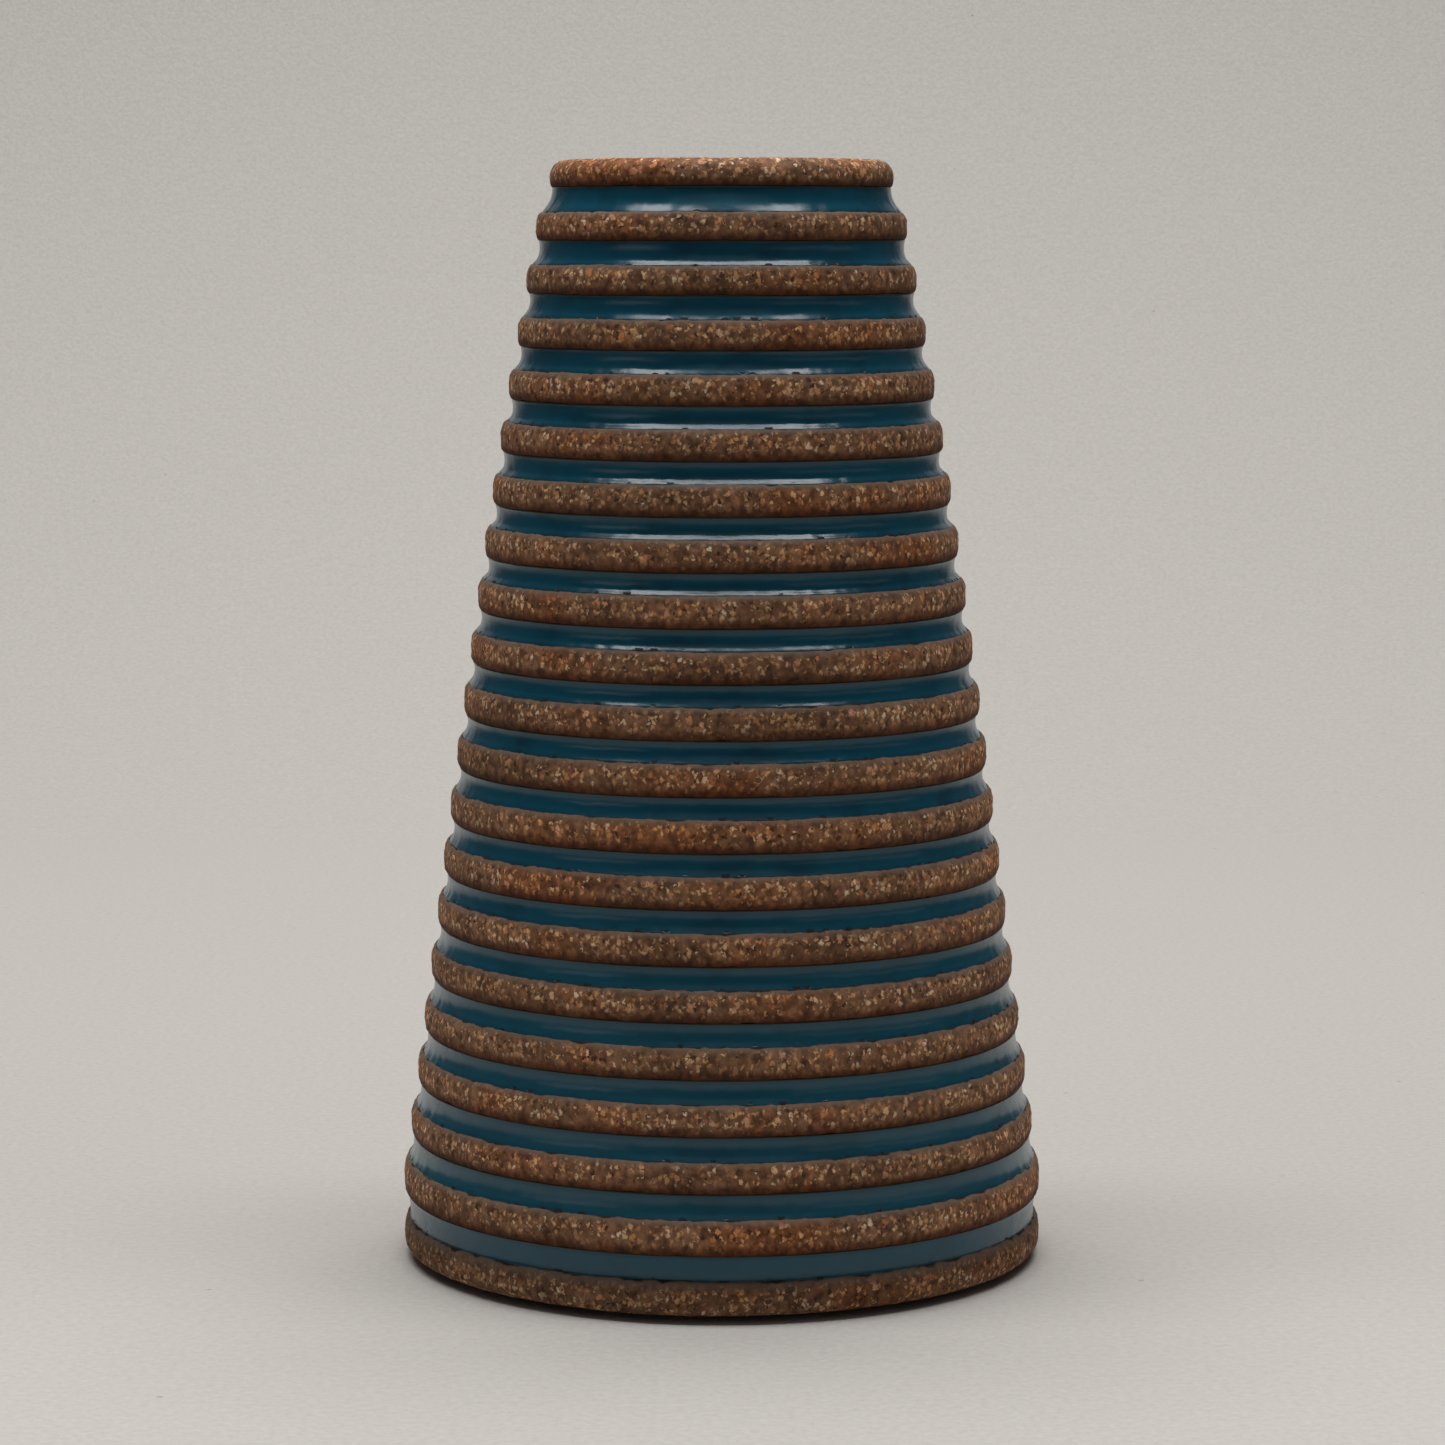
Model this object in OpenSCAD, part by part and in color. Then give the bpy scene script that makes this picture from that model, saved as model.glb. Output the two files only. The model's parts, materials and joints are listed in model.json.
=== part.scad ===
// Ribbed stoneware bud vase: a tapered clay shell with grooves cut round it, one ring of
// glaze fused in each groove and a coat of glaze lining the inside.
// Z is up, the origin is the centre of the foot, and every outline is drawn as [radius, height].

/* [Overall] */
// Height from the table to the top of the rim
height = 150; // [146:1:156]
// Number of raised ribs, counting the rim and the foot
rib_count = 21; // [20:1:22]
// Guide radii of the curve that the rib faces follow, from the foot to the rim
outline_guides = [45.6, 38.3, 33.6, 23.4]; // four radii, falling from foot to rim
// Radius of the rim rib, which is set in from the curve
rim_radius = 23.25; // [22.9:0.05:23.6]
// Radius of the foot rib, which stands straight under the rib above it
foot_radius = 43.95; // [43.6:0.05:44.5]

/* [Ribs] */
// Height of the rim rib
rim_height = 3.7; // [3.5:0.1:4.2]
// Height of the foot rib
foot_height = 5.9; // [5:0.1:6.5]
// Extra height of the rib above the foot rib
low_rib_extra = 0.6; // [0:0.1:1]
// How much the rib spacing grows from the rim to the foot, as a share of it
spacing_growth = 0.055; // [0:0.005:0.1]
// Width of the rounding along a rib's upper edge
shoulder_width = 1.0; // [0.8:0.1:1.2]
// Height of that rounding
shoulder_height = 1.9; // [1.2:0.1:2.1]
// Width of the rounding along a rib's lower edge
underside_width = 0.45; // [0.3:0.05:0.6]
// Height of that rounding
underside_height = 1.1; // [0.6:0.1:1.1]
// Rounding of the rim's outer and inner edges
lip_round = 2.2; // [1.6:0.1:2.3]

/* [Grooves] */
// Width of the grooves nearest to the rim and the foot
groove_width_end = 3.1; // [2.8:0.05:3.3]
// Width of the grooves halfway up
groove_width_mid = 2.6; // [2.4:0.05:3]
// Depth of a groove below the mean of the two rib faces beside it
groove_depth = 2.3; // [2.2:0.05:2.6]
// Rounding of a groove's two inner corners
groove_round = 0.6; // [0.4:0.05:0.7]

/* [Glaze] */
// How far the hollow of a glaze ring lies below the mean of the rib faces
glaze_dip = 1.1; // [0.9:0.05:1.3]
// Angle from the vertical at which the glaze stops on a rib's shoulder
glaze_stop = 25; // [15:1:35]
// Thickness of the glaze coat inside
liner_thickness = 0.5; // [0.4:0.05:0.8]
// Distance from the top of the rim down to the edge of the inside coat
liner_drop = 2.4; // [2.4:0.1:4]

/* [Wall and foot] */
// Thickness of the wall from a rib's face to the inside
wall = 7; // [6.5:0.1:7.5]
// Height of the inside floor above the table
floor_height = 7.6; // [7:0.1:9]
// Rounding between the inside floor and the wall
floor_round = 8; // [6:0.5:10]
// Rounding of the foot's outer lower edge
foot_round = 1.6; // [1:0.1:2]
// Width of the bevel cut under that edge, from the foot rib's face in to the standing ring
foot_bevel = 4.8; // [3.5:0.1:5.5]
// Radius of the hollow turned into the underside
recess_radius = 33.5; // [30:0.5:36]
// Depth of that hollow
recess_depth = 1.6; // [1:0.1:2]

/* [Hidden] */
$fn = 180;
clay_colour = [0.45, 0.33, 0.24];
glaze_colour = [0.06, 0.23, 0.30];
band_count = rib_count - 1;
// Slope of the chamfer round the underside hollow, as its width over its depth
recess_flare = 0.6;
// Rise of the bevel under the foot's edge, in degrees
bevel_angle = 15;
// Number of stations up the inside wall
wall_stations = 14;

// Radius of the rib faces at a height, on one cubic curve through the guide radii
function face_radius(z) =
    let (t = z / height, g = outline_guides)
    g[0] * pow(1 - t, 3) + 3 * g[1] * t * pow(1 - t, 2) + 3 * g[2] * t * t * (1 - t) + g[3] * pow(t, 3);

// Grooves are numbered from 1 under the rim. They are widest at both ends of the vase.
function groove_width(i) =
    let (from_middle = (2 * i - rib_count) / (rib_count - 2))
    groove_width_mid + (groove_width_end - groove_width_mid) * from_middle * from_middle;

// Ribs are numbered from 1, the rim. A pitch is the height of rib i and the groove under it.
mean_pitch = (height - rim_height - groove_width(1) - foot_height - low_rib_extra) / (rib_count - 2);
function pitch(i) =
    mean_pitch * (1 + spacing_growth * ((i - 2) / (rib_count - 3) - 0.5))
    + (i == band_count ? low_rib_extra : 0);
function rib_top(i) =
    i == 1 ? height :
    i == 2 ? height - rim_height - groove_width(1) :
    rib_top(i - 1) - pitch(i - 1);
function rib_low(i) = i == rib_count ? 0 : rib_top(i + 1) + groove_width(i);
function rib_radius(i) =
    i == 1 ? rim_radius :
    i == rib_count ? foot_radius :
    face_radius((rib_top(i) + rib_low(i)) / 2);
function mean_radius(i) = (rib_radius(i) + rib_radius(i + 1)) / 2;

// Points on an oval arc about [r, z], from one angle to another, where 0 points outwards and 90 up
function oval(r, z, half_width, half_height, from, to, steps) =
    [for (k = [0 : steps])
        let (a = from + (to - from) * k / steps)
        [r + half_width * cos(a), z + half_height * sin(a)]];
function arc(r, z, radius, from, to, steps) = oval(r, z, radius, radius, from, to, steps);

// A cubic curve through p0 and p3, pulled towards p1 and p2
function cubic(p0, p1, p2, p3, steps) =
    [for (k = [0 : steps]) let (t = k / steps)
        p0 * pow(1 - t, 3) + p1 * 3 * t * pow(1 - t, 2) + p2 * 3 * t * t * (1 - t) + p3 * pow(t, 3)];

// The shoulder of rib i, from its face up to where the glaze stops, and from there to the flat
function shoulder(i, from, to, steps) =
    oval(rib_radius(i) - shoulder_width, rib_top(i) - shoulder_height, shoulder_width, shoulder_height,
        from, to, steps);
function shoulder_bare(i) = shoulder(i, 0, 90 - glaze_stop, 5);
function shoulder_glazed(i) = shoulder(i, 90 - glaze_stop, 90, 2);

// The cut wall of groove i, upwards from the shoulder below it to the underside above it
function groove_wall(i) =
    let (r = mean_radius(i) - groove_depth + groove_round)
    concat(
        arc(r, rib_top(i + 1) + groove_round, groove_round, 270, 180, 4),
        arc(r, rib_low(i) - groove_round, groove_round, 180, 90, 4)
    );

// The lower edge of rib i, from its flat underside out to its face
function underside_edge(i) =
    oval(rib_radius(i) - underside_width, rib_low(i) + underside_height, underside_width, underside_height,
        270, 360, 4);

// The face of the glaze in groove i, down from the underside above to the shoulder below
function glaze_face(i) =
    let (
        start = underside_edge(i)[0],
        end = shoulder_glazed(i + 1)[0],
        hollow = mean_radius(i) - glaze_dip - 0.2,
        width = groove_width(i)
    )
    cubic(start, [hollow, start[1] - width * 0.2], [hollow, end[1] + width * 0.3], end, 9);

// The inside of the clay, from the middle of the floor up to the lip, set in by a coat
function cavity(coat, top) =
    let (
        corner = [face_radius(floor_height + floor_round) - wall - coat, floor_height + floor_round],
        rise = top - corner[1]
    )
    concat(
        [[0, floor_height + coat]],
        arc(corner[0] - floor_round, floor_height + floor_round + coat, floor_round, 270, 355, 8),
        [for (k = [1 : wall_stations])
            let (z = corner[1] + rise * k / wall_stations)
            [face_radius(z) - wall - coat, z]]
    );

// The foot's outer edge, from the standing ring out along the bevel and round to the face
function foot_edge() =
    let (
        r = foot_radius - foot_round,
        bevel_end = r + foot_round * sin(bevel_angle),
        rise = (bevel_end - foot_radius + foot_bevel) * tan(bevel_angle)
    )
    concat(
        [[foot_radius - foot_bevel, 0]],
        arc(r, rise + foot_round * cos(bevel_angle), foot_round, 270 + bevel_angle, 360, 6)
    );

module clay_body() {
    lip_inside = face_radius(height - lip_round) - wall;
    color(clay_colour)
    rotate_extrude()
    polygon(concat(
        [[0, recess_depth], [recess_radius - recess_depth * recess_flare, recess_depth], [recess_radius, 0]],
        foot_edge(),
        [for (i = [band_count : -1 : 1])
            each concat(shoulder_bare(i + 1), shoulder_glazed(i + 1), groove_wall(i), underside_edge(i))],
        arc(rim_radius - lip_round, height - lip_round, lip_round, 0, 90, 8),
        arc(lip_inside + lip_round, height - lip_round, lip_round, 90, 180, 8),
        [for (k = [len(cavity(0, height - lip_round)) - 2 : -1 : 0]) cavity(0, height - lip_round)[k]]
    ));
}

module liner_glaze() {
    outer = cavity(0, height - liner_drop);
    inner = cavity(liner_thickness, height - liner_drop - liner_thickness);
    color(glaze_colour)
    rotate_extrude()
    polygon(concat(outer, [for (k = [len(inner) - 1 : -1 : 0]) inner[k]]));
}

module glaze_band(i) {
    color(glaze_colour)
    rotate_extrude()
    polygon(concat(
        glaze_face(i),
        [for (k = [1 : len(shoulder_glazed(i + 1)) - 1]) shoulder_glazed(i + 1)[k]],
        groove_wall(i)
    ));
}

function band_name(i) = str("glaze_band_", i < 10 ? "0" : "", i);

clay_body();
liner_glaze();
for (i = [1 : band_count])
    glaze_band(i);
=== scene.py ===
# %% [markdown]
# # A ribbed stoneware bud vase
#
# The real vase is one thick clay wall, thrown on a wheel. Twenty grooves are cut round it with a loop
# tool, a glossy glaze is run into every groove and poured inside, and the ribs stay bare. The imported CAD
# part gives all the sizes. This script builds the finer surfaces round it: wavering edges, gritty clay
# and pooled glaze.

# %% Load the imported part
import json

import bpy
import numpy as np
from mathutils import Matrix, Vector

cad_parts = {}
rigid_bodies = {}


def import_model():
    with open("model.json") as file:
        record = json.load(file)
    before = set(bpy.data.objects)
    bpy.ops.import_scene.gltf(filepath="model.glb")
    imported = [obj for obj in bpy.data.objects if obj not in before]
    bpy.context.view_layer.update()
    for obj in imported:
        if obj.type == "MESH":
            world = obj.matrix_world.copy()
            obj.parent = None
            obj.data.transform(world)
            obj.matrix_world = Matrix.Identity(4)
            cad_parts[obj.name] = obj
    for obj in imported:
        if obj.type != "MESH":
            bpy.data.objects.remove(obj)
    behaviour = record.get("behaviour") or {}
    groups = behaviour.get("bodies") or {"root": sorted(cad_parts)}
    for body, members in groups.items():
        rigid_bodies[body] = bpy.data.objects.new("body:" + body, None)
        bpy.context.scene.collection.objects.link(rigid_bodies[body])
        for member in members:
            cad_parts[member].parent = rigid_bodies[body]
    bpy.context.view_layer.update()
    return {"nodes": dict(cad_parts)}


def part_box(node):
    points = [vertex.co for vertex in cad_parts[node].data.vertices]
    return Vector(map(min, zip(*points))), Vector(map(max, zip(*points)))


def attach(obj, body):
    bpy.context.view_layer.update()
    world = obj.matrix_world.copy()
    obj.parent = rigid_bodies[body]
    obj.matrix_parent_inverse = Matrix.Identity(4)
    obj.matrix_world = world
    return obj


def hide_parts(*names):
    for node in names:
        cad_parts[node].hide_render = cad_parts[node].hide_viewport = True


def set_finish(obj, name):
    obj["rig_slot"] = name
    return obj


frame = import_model()
MM = 0.001

# %% [markdown]
# ## Where the ribs and grooves are
#
# Each glaze ring's box tells where its groove begins and ends, so the ribs between them follow. The
# glaze stops 65 degrees up the rounded shoulder of the rib below it, so a ring's widest point lies a
# known step inside that rib's face. Reading the boxes keeps this script true to the part if its
# measures change.

# %% Read the ribs from the glaze rings' boxes
SHOULDER = 1.0 * MM  # width of the rounding along a rib's upper edge
SHOULDER_TALL = 1.9 * MM  # height of that rounding
UNDER_EDGE = 0.45 * MM  # width of the rounding along its lower edge
UNDER_TALL = 1.1 * MM  # height of that rounding
GLAZE_STOP = np.radians(65)  # how far up the shoulder the glaze ends, from level
GROOVE_DEPTH = 2.3 * MM
RIM_RADIUS = 23.25 * MM
FOOT_BEVEL = 4.8 * MM
RECESS_RADIUS = 33.5 * MM
RECESS_DEPTH = 1.6 * MM
band_names = sorted(name for name in frame["nodes"] if name.startswith("glaze_band_"))
band_boxes = [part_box(name) for name in band_names]
clay_low, clay_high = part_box("clay_body")
rib_top = np.array([clay_high.z] + [low.z for low, high in band_boxes])
rib_low = np.array([high.z for low, high in band_boxes] + [clay_low.z])
rib_radius = np.array([high.x for low, high in band_boxes]) + SHOULDER * (1 - np.cos(GLAZE_STOP))
rib_radius = np.concatenate([[RIM_RADIUS], rib_radius[:-1], [clay_high.x]])
print(len(rib_top), "ribs, radius in mm:", np.round(rib_radius / MM, 1))

# %% [markdown]
# ## Randomness that repeats
#
# A hand-made pot needs unevenness with no pattern, yet the script must give the same pot each run. So
# chance comes from a small hash of whole-number grid cells: the same cell and seed give the same number.
# All of it is a function of a point in space, so it has no seam where a ring closes.

# %% Noise over points in space
def cell_chance(cells, seed):
    """A number from 0 to 1 for each whole-number cell [x, y, z]: the three are multiplied by large primes
    and mixed by exclusive or with the seed, then folded twice and cut to 24 bits."""
    c = cells.astype(np.int64)
    h = (c[..., 0] * 73856093) ^ (c[..., 1] * 19349663) ^ (c[..., 2] * 83492791) ^ (seed * 668265263)
    h = (h ^ (h >> 13)) * 1274126177
    h = h ^ (h >> 16)
    return (h & 0xFFFFFF) / float(0xFFFFFF)


def hills(points, size, seed):
    """Smooth hills from -1 to 1, about one `size` across: the chances at a grid cube's eight corners are
    blended by t * t * (3 - 2 * t) along each axis."""
    q = points / size
    base = np.floor(q)
    t = q - base
    t = t * t * (3 - 2 * t)
    total = np.zeros(points.shape[:-1])
    for corner in np.ndindex(2, 2, 2):
        weight = np.prod(np.where(np.array(corner, bool), t, 1 - t), axis=-1)
        total += weight * cell_chance(base + corner, seed)
    return total * 2 - 1


def grains(points, size, seed, share):
    """Rounded grains from 0 to 1. Each cube of a grid holds one centre at a chance place, and `share` of
    the cubes have a grain there. Its height is 1 - (distance / radius) squared, where the radius is 0.25
    to 0.55 of the cube, and the tallest grain at a point counts."""
    q = points / size
    home = np.floor(q)
    best = np.zeros(points.shape[:-1])
    for step in np.ndindex(3, 3, 3):
        cell = home + step - 1
        centre = np.stack([cell_chance(cell, seed + k) for k in (1, 2, 3)], axis=-1)
        radius = 0.25 + 0.3 * cell_chance(cell, seed + 4)
        height = 1 - ((q - cell - centre) ** 2).sum(-1) / radius**2
        best = np.where(cell_chance(cell, seed) < share, np.maximum(best, height), best)
    return best


# %% [markdown]
# ## One function turns every piece
#
# Clay and glaze are both turned shapes, so every piece is an outline [radius, height] carried round the
# axis. The outline may differ from column to column, which is how edges waver and glaze creeps. A ring's
# outline closes on itself; the foot and the liner begin and end on the axis, where a fan of triangles
# closes the pole.

# %% Turn an outline into a mesh
made = {}  # the triangles of each piece, by its name
AXIS_GAP = 0.4 * MM  # radius of the fan of triangles that closes a pole


def turn(name, outline, columns, slot_name, cad_nodes, attributes=None, poles=False):
    """outline is [rows, columns, 2], and point (v, u) is [r cos a, r sin a, z] with a = 2 pi u / columns.
    Rows run outwards along the bottom, up the outside and back inwards, so the faces point outwards."""
    rows = outline.shape[0]
    angle = 2 * np.pi * np.arange(columns) / columns
    r, z = outline[..., 0], outline[..., 1]
    points = np.stack([r * np.cos(angle), r * np.sin(angle), z], axis=-1).reshape(-1, 3)
    u = np.arange(columns)
    v = np.arange(rows - 1 if poles else rows)[:, None]
    ahead, above = (u + 1) % columns, (v + 1) % rows
    quads = np.stack([v * columns + u, v * columns + ahead,
                      above * columns + ahead, above * columns + u], -1)
    corners = quads.reshape(-1)
    sizes = np.full(quads.shape[0] * quads.shape[1], 4)
    if poles:
        ends = np.array([[0, 0, z[0].mean()], [0, 0, z[-1].mean()]])
        first = np.stack([np.full(columns, len(points)), ahead, u], -1)
        last_row = (rows - 1) * columns
        last = np.stack([np.full(columns, len(points) + 1), last_row + u, last_row + ahead], -1)
        points = np.concatenate([points, ends])
        corners = np.concatenate([corners, first.reshape(-1), last.reshape(-1)])
        sizes = np.concatenate([sizes, np.full(2 * columns, 3)])
    mesh = bpy.data.meshes.new(name)
    mesh.vertices.add(len(points))
    mesh.vertices.foreach_set("co", points.astype(np.float32).reshape(-1))
    mesh.loops.add(len(corners))
    mesh.loops.foreach_set("vertex_index", corners.astype(np.int32))
    mesh.polygons.add(len(sizes))
    mesh.polygons.foreach_set("loop_start", (np.cumsum(sizes) - sizes).astype(np.int32))
    mesh.polygons.foreach_set("use_smooth", np.ones(len(sizes), bool))
    for label, values in (attributes or {}).items():
        flat = np.zeros(len(points), np.float32)
        flat[: values.size] = values.reshape(-1)
        mesh.attributes.new(label, "FLOAT", "POINT").data.foreach_set("value", flat)
    mesh.update(calc_edges=True)
    mesh.validate()
    piece = bpy.data.objects.new(name, mesh)
    bpy.context.scene.collection.objects.link(piece)
    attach(piece, "root")
    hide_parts(*cad_nodes)
    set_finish(piece, slot_name)
    made[name] = int((sizes - 2).sum())


def oval(r, z, half_width, half_height, start, end, steps):
    """Points [r + half_width cos a, z + half_height sin a] for angles a from start to end in degrees."""
    a = np.radians(np.linspace(start, end, steps))
    return np.stack([r + half_width * np.cos(a), z + half_height * np.sin(a)], -1)


def arc(r, z, radius, start, end, steps):
    """An oval whose two half axes are both the radius."""
    return oval(r, z, radius, radius, start, end, steps)


def line(start, end, steps):
    """Evenly spaced points from start towards end, without the end itself."""
    return np.linspace(np.array(start), np.array(end), steps, endpoint=False)


def outward(outline, closed=True):
    """Unit normals of an outline [rows, columns, 2]: the step along it, turned a quarter to the right. An
    outline that ends on the axis is not closed, so its end rows use the step next to them."""
    along = np.roll(outline, -1, 0) - np.roll(outline, 1, 0) if closed else np.gradient(outline, axis=0)
    normal = np.stack([along[..., 1], -along[..., 0]], -1)
    return normal / np.maximum(np.linalg.norm(normal, axis=-1, keepdims=True), 1e-9)


def in_space(outline):
    """An outline's points [r, z] as [x, y, z], one column to each angle round the axis."""
    angle = 2 * np.pi * np.arange(outline.shape[1]) / outline.shape[1]
    r, z = outline[..., 0], outline[..., 1]
    return np.stack([r * np.cos(angle), r * np.sin(angle), z], -1)


# %% [markdown]
# ## Bare clay ribs
#
# The clay is stoneware with grog, which is fired clay crushed to grains of 0.4 to 1 mm. A turning tool
# drags the grains, so some stand proud and some are plucked out, and the edges waver by a tenth of a
# millimetre or so. The relief here is real geometry, about 0.3 mm from point to point, because it shows
# on the outline of the vase. Each rib is a closed ring of its own, sunk in the wall, so that no mesh is
# too heavy.

# %% Relief of turned, grogged clay
CLAY_SPACING = 0.3 * MM  # from point to point round a rib


def clay_relief(points, edge_fade):
    """Height of the clay above its smooth form: slow wavering left by the hand, proud grog grains,
    plucked pits and fine grit, added up. edge_fade from 0 to 1 quiets it where it is hidden."""
    waver = 0.06 * MM * hills(points * [1, 1, 0.4], 11 * MM, 11) + 0.04 * MM * hills(points, 4 * MM, 12)
    proud = 0.075 * MM * grains(points, 1.25 * MM, 21, 0.55)
    pits = 0.13 * MM * grains(points, 1.6 * MM, 31, 0.22)
    grit = 0.03 * MM * hills(points, 0.5 * MM, 41) + 0.02 * MM * hills(points, 0.9 * MM, 42)
    return (waver + proud - pits + grit) * edge_fade - 0.02 * MM


def add_clay(name, outline, shown, across, poles=False):
    """A clay piece from a smooth outline [rows, 2]. shown is 1 on rows that are seen and 0 on hidden
    ones, and across runs from 0 at a rib's lower edge to 1 at its upper edge, for the clay's colour."""
    columns = int(2 * np.pi * outline[:, 0].max() / CLAY_SPACING)
    grid = np.repeat(outline[:, None, :], columns, axis=1)
    height = clay_relief(in_space(grid), shown[:, None]) * shown[:, None]
    grid = grid + outward(grid, not poles) * height[..., None]
    grid[..., 1] = np.clip(grid[..., 1], clay_low.z, clay_high.z)
    labels = {"across": np.repeat(across[:, None], columns, axis=1)}
    turn(name, grid, columns, "bare_stoneware", ["clay_body"], labels, poles)


def rib_rows(parts):
    """Joins runs of points, each with whether it is seen, to one outline with its shown marks."""
    outline = np.concatenate([points for points, seen in parts])
    shown = np.concatenate([np.full(len(points), float(seen)) for points, seen in parts])
    return outline, shown


# %% Build the plain ribs, from the second to the last above the foot
ROOT = 3.3 * MM  # how far a rib's ring goes into the wall
UNDER_SEEN = 0.5 * MM  # stretch of a rib's underside that gets relief
TOP_SEEN = 0.3 * MM  # stretch of its top that does
for i in range(1, len(rib_top) - 1):
    r, low, top = rib_radius[i], rib_low[i], rib_top[i]
    root = r - ROOT
    outline, shown = rib_rows([
        (line([root, low], [r - UNDER_EDGE - UNDER_SEEN, low], 2), 0),
        (line([r - UNDER_EDGE - UNDER_SEEN, low], [r - UNDER_EDGE, low], 2), 1),
        (oval(r - UNDER_EDGE, low + UNDER_TALL, UNDER_EDGE, UNDER_TALL, -90, -10, 6), 1),
        (line([r, low + UNDER_TALL], [r, top - SHOULDER_TALL], 5), 1),
        (oval(r - SHOULDER, top - SHOULDER_TALL, SHOULDER, SHOULDER_TALL, 0, 90, 10), 1),
        (line([r - SHOULDER - TOP_SEEN, top], [root, top], 2), 0),
        (line([root, top], [root, low], 1), 0),
    ])
    add_clay(f"clay_rib_{i + 1:02d}", outline, shown, (outline[:, 1] - low) / (top - low))
print("ribs:", len(made), "pieces,", sum(made.values()), "triangles")

# %% [markdown]
# ## Rim and foot
#
# The rim is rounded over with a finger or a leather strip, so its edges are softer than the ribs'. The
# foot is bevelled underneath, which lifts its edge off the table and leaves the thin dark line that a
# pot stands on. Its underside is turned hollow, and the tool leaves rings there.

# %% Build the rim with its lip
WALL = 7 * MM
LIP = 2.2 * MM  # rounding of the rim's two edges
RIM_ROOT = 3.2 * MM  # how far the rim's piece goes in from its face
RIM_INSIDE = 6.5 * MM  # how far down the inside it goes
GUIDES = np.array([45.6, 38.3, 33.6, 23.4]) * MM
HEIGHT = clay_high.z - clay_low.z


def face_radius(z):
    """Radius of the curve that the rib faces follow: a cubic of the four guide radii at z / height."""
    t = np.asarray(z) / HEIGHT
    g = GUIDES
    return g[0] * (1 - t) ** 3 + 3 * g[1] * t * (1 - t) ** 2 + 3 * g[2] * t**2 * (1 - t) + g[3] * t**3


r, low, top = rib_radius[0], rib_low[0], rib_top[0]
inside = face_radius(top - LIP) - WALL
inner_z = np.linspace(top - LIP, top - RIM_INSIDE, 12)[1:]
outline, shown = rib_rows([
    (line([r - RIM_ROOT, low], [r - UNDER_EDGE - UNDER_SEEN, low], 2), 0),
    (line([r - UNDER_EDGE - UNDER_SEEN, low], [r - UNDER_EDGE, low], 2), 1),
    (oval(r - UNDER_EDGE, low + UNDER_TALL, UNDER_EDGE, UNDER_TALL, -90, -10, 6), 1),
    (line([r, low + UNDER_TALL], [r, top - LIP], 2), 1),
    (arc(r - LIP, top - LIP, LIP, 0, 90, 13), 1),
    (line([r - LIP - TOP_SEEN, top], [inside + LIP, top], 6), 1),
    (arc(inside + LIP, top - LIP, LIP, 90, 180, 13), 1),
    (np.stack([face_radius(inner_z) - WALL, inner_z], -1), 1),
    (np.array([[r - RIM_ROOT, top - RIM_INSIDE]]), 0),
])
add_clay("clay_rim", outline, shown, np.clip((outline[:, 1] - low) / (top - low), 0, 0.6))

# %% Build the foot with its bevel, standing ring and turned hollow
FOOT_ROUND = 1.6 * MM
BEVEL_ANGLE = 15  # degrees
RECESS_FLARE = 0.6  # width of the hollow's sloping side over its depth
r, top = rib_radius[-1], rib_top[-1]
bevel_end = r - FOOT_ROUND + FOOT_ROUND * np.sin(np.radians(BEVEL_ANGLE))
rise = (bevel_end - r + FOOT_BEVEL) * np.tan(np.radians(BEVEL_ANGLE))
ring = r - FOOT_BEVEL
edge_z = rise + FOOT_ROUND * np.cos(np.radians(BEVEL_ANGLE))
recess_start = RECESS_RADIUS - RECESS_FLARE * RECESS_DEPTH
outline, shown = rib_rows([
    (line([AXIS_GAP, RECESS_DEPTH], [recess_start, RECESS_DEPTH], 44), 1),
    (line([recess_start, RECESS_DEPTH], [RECESS_RADIUS, 0], 4), 1),
    (line([RECESS_RADIUS, 0], [ring, 0], 12), 1),
    (line([ring, 0], [bevel_end, rise], 6), 1),
    (arc(r - FOOT_ROUND, edge_z, FOOT_ROUND, -90 + BEVEL_ANGLE, -6, 8), 1),
    (line([r, edge_z], [r, top - SHOULDER_TALL], 6), 1),
    (oval(r - SHOULDER, top - SHOULDER_TALL, SHOULDER, SHOULDER_TALL, 0, 90, 10), 1),
    (line([r - SHOULDER - TOP_SEEN, top], [AXIS_GAP, top], 6), 0),
])
tool_ring = 0.06 * MM * np.sin(2 * np.pi * outline[:, 0] / (2.1 * MM))
hollow_rows = (outline[:, 1] == RECESS_DEPTH) & (outline[:, 0] < recess_start)
outline[:, 1] += np.where(hollow_rows, tool_ring, 0)
add_clay("clay_foot", outline, shown, np.clip(0.25 + 0.75 * outline[:, 1] / top, 0, 1), poles=True)

# %% [markdown]
# ## The wall behind the glaze
#
# Between the ribs the wall is covered outside by the glaze rings and inside by the liner, so it needs no
# detail. It is there so that the clay is one solid body from rim to foot. Outside it lies a little behind
# the grooves, and inside a little under the coat, so it never shows.

# %% Build the hidden wall
WALL_START = 2.5 * MM  # inside the clay of the foot
WALL_COLUMNS = 240
wall_z = np.linspace(WALL_START, rib_low[0], 60)
mean_radius = (rib_radius[:-1] + rib_radius[1:]) / 2
groove_z = (rib_low[:-1] + rib_top[1:]) / 2
outside = np.interp(wall_z, groove_z[::-1], mean_radius[::-1]) - GROOVE_DEPTH - 0.15 * MM
inner_wall = face_radius(wall_z[::-1]) - WALL - 0.1 * MM
outline = np.concatenate([np.stack([outside, wall_z], -1), np.stack([inner_wall, wall_z[::-1]], -1)])
grid = np.repeat(outline[:, None, :], WALL_COLUMNS, axis=1)
hidden = {"across": np.full((len(outline), WALL_COLUMNS), 0.5)}
turn("clay_wall", grid, WALL_COLUMNS, "bare_stoneware", ["clay_body"], hidden)

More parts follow.
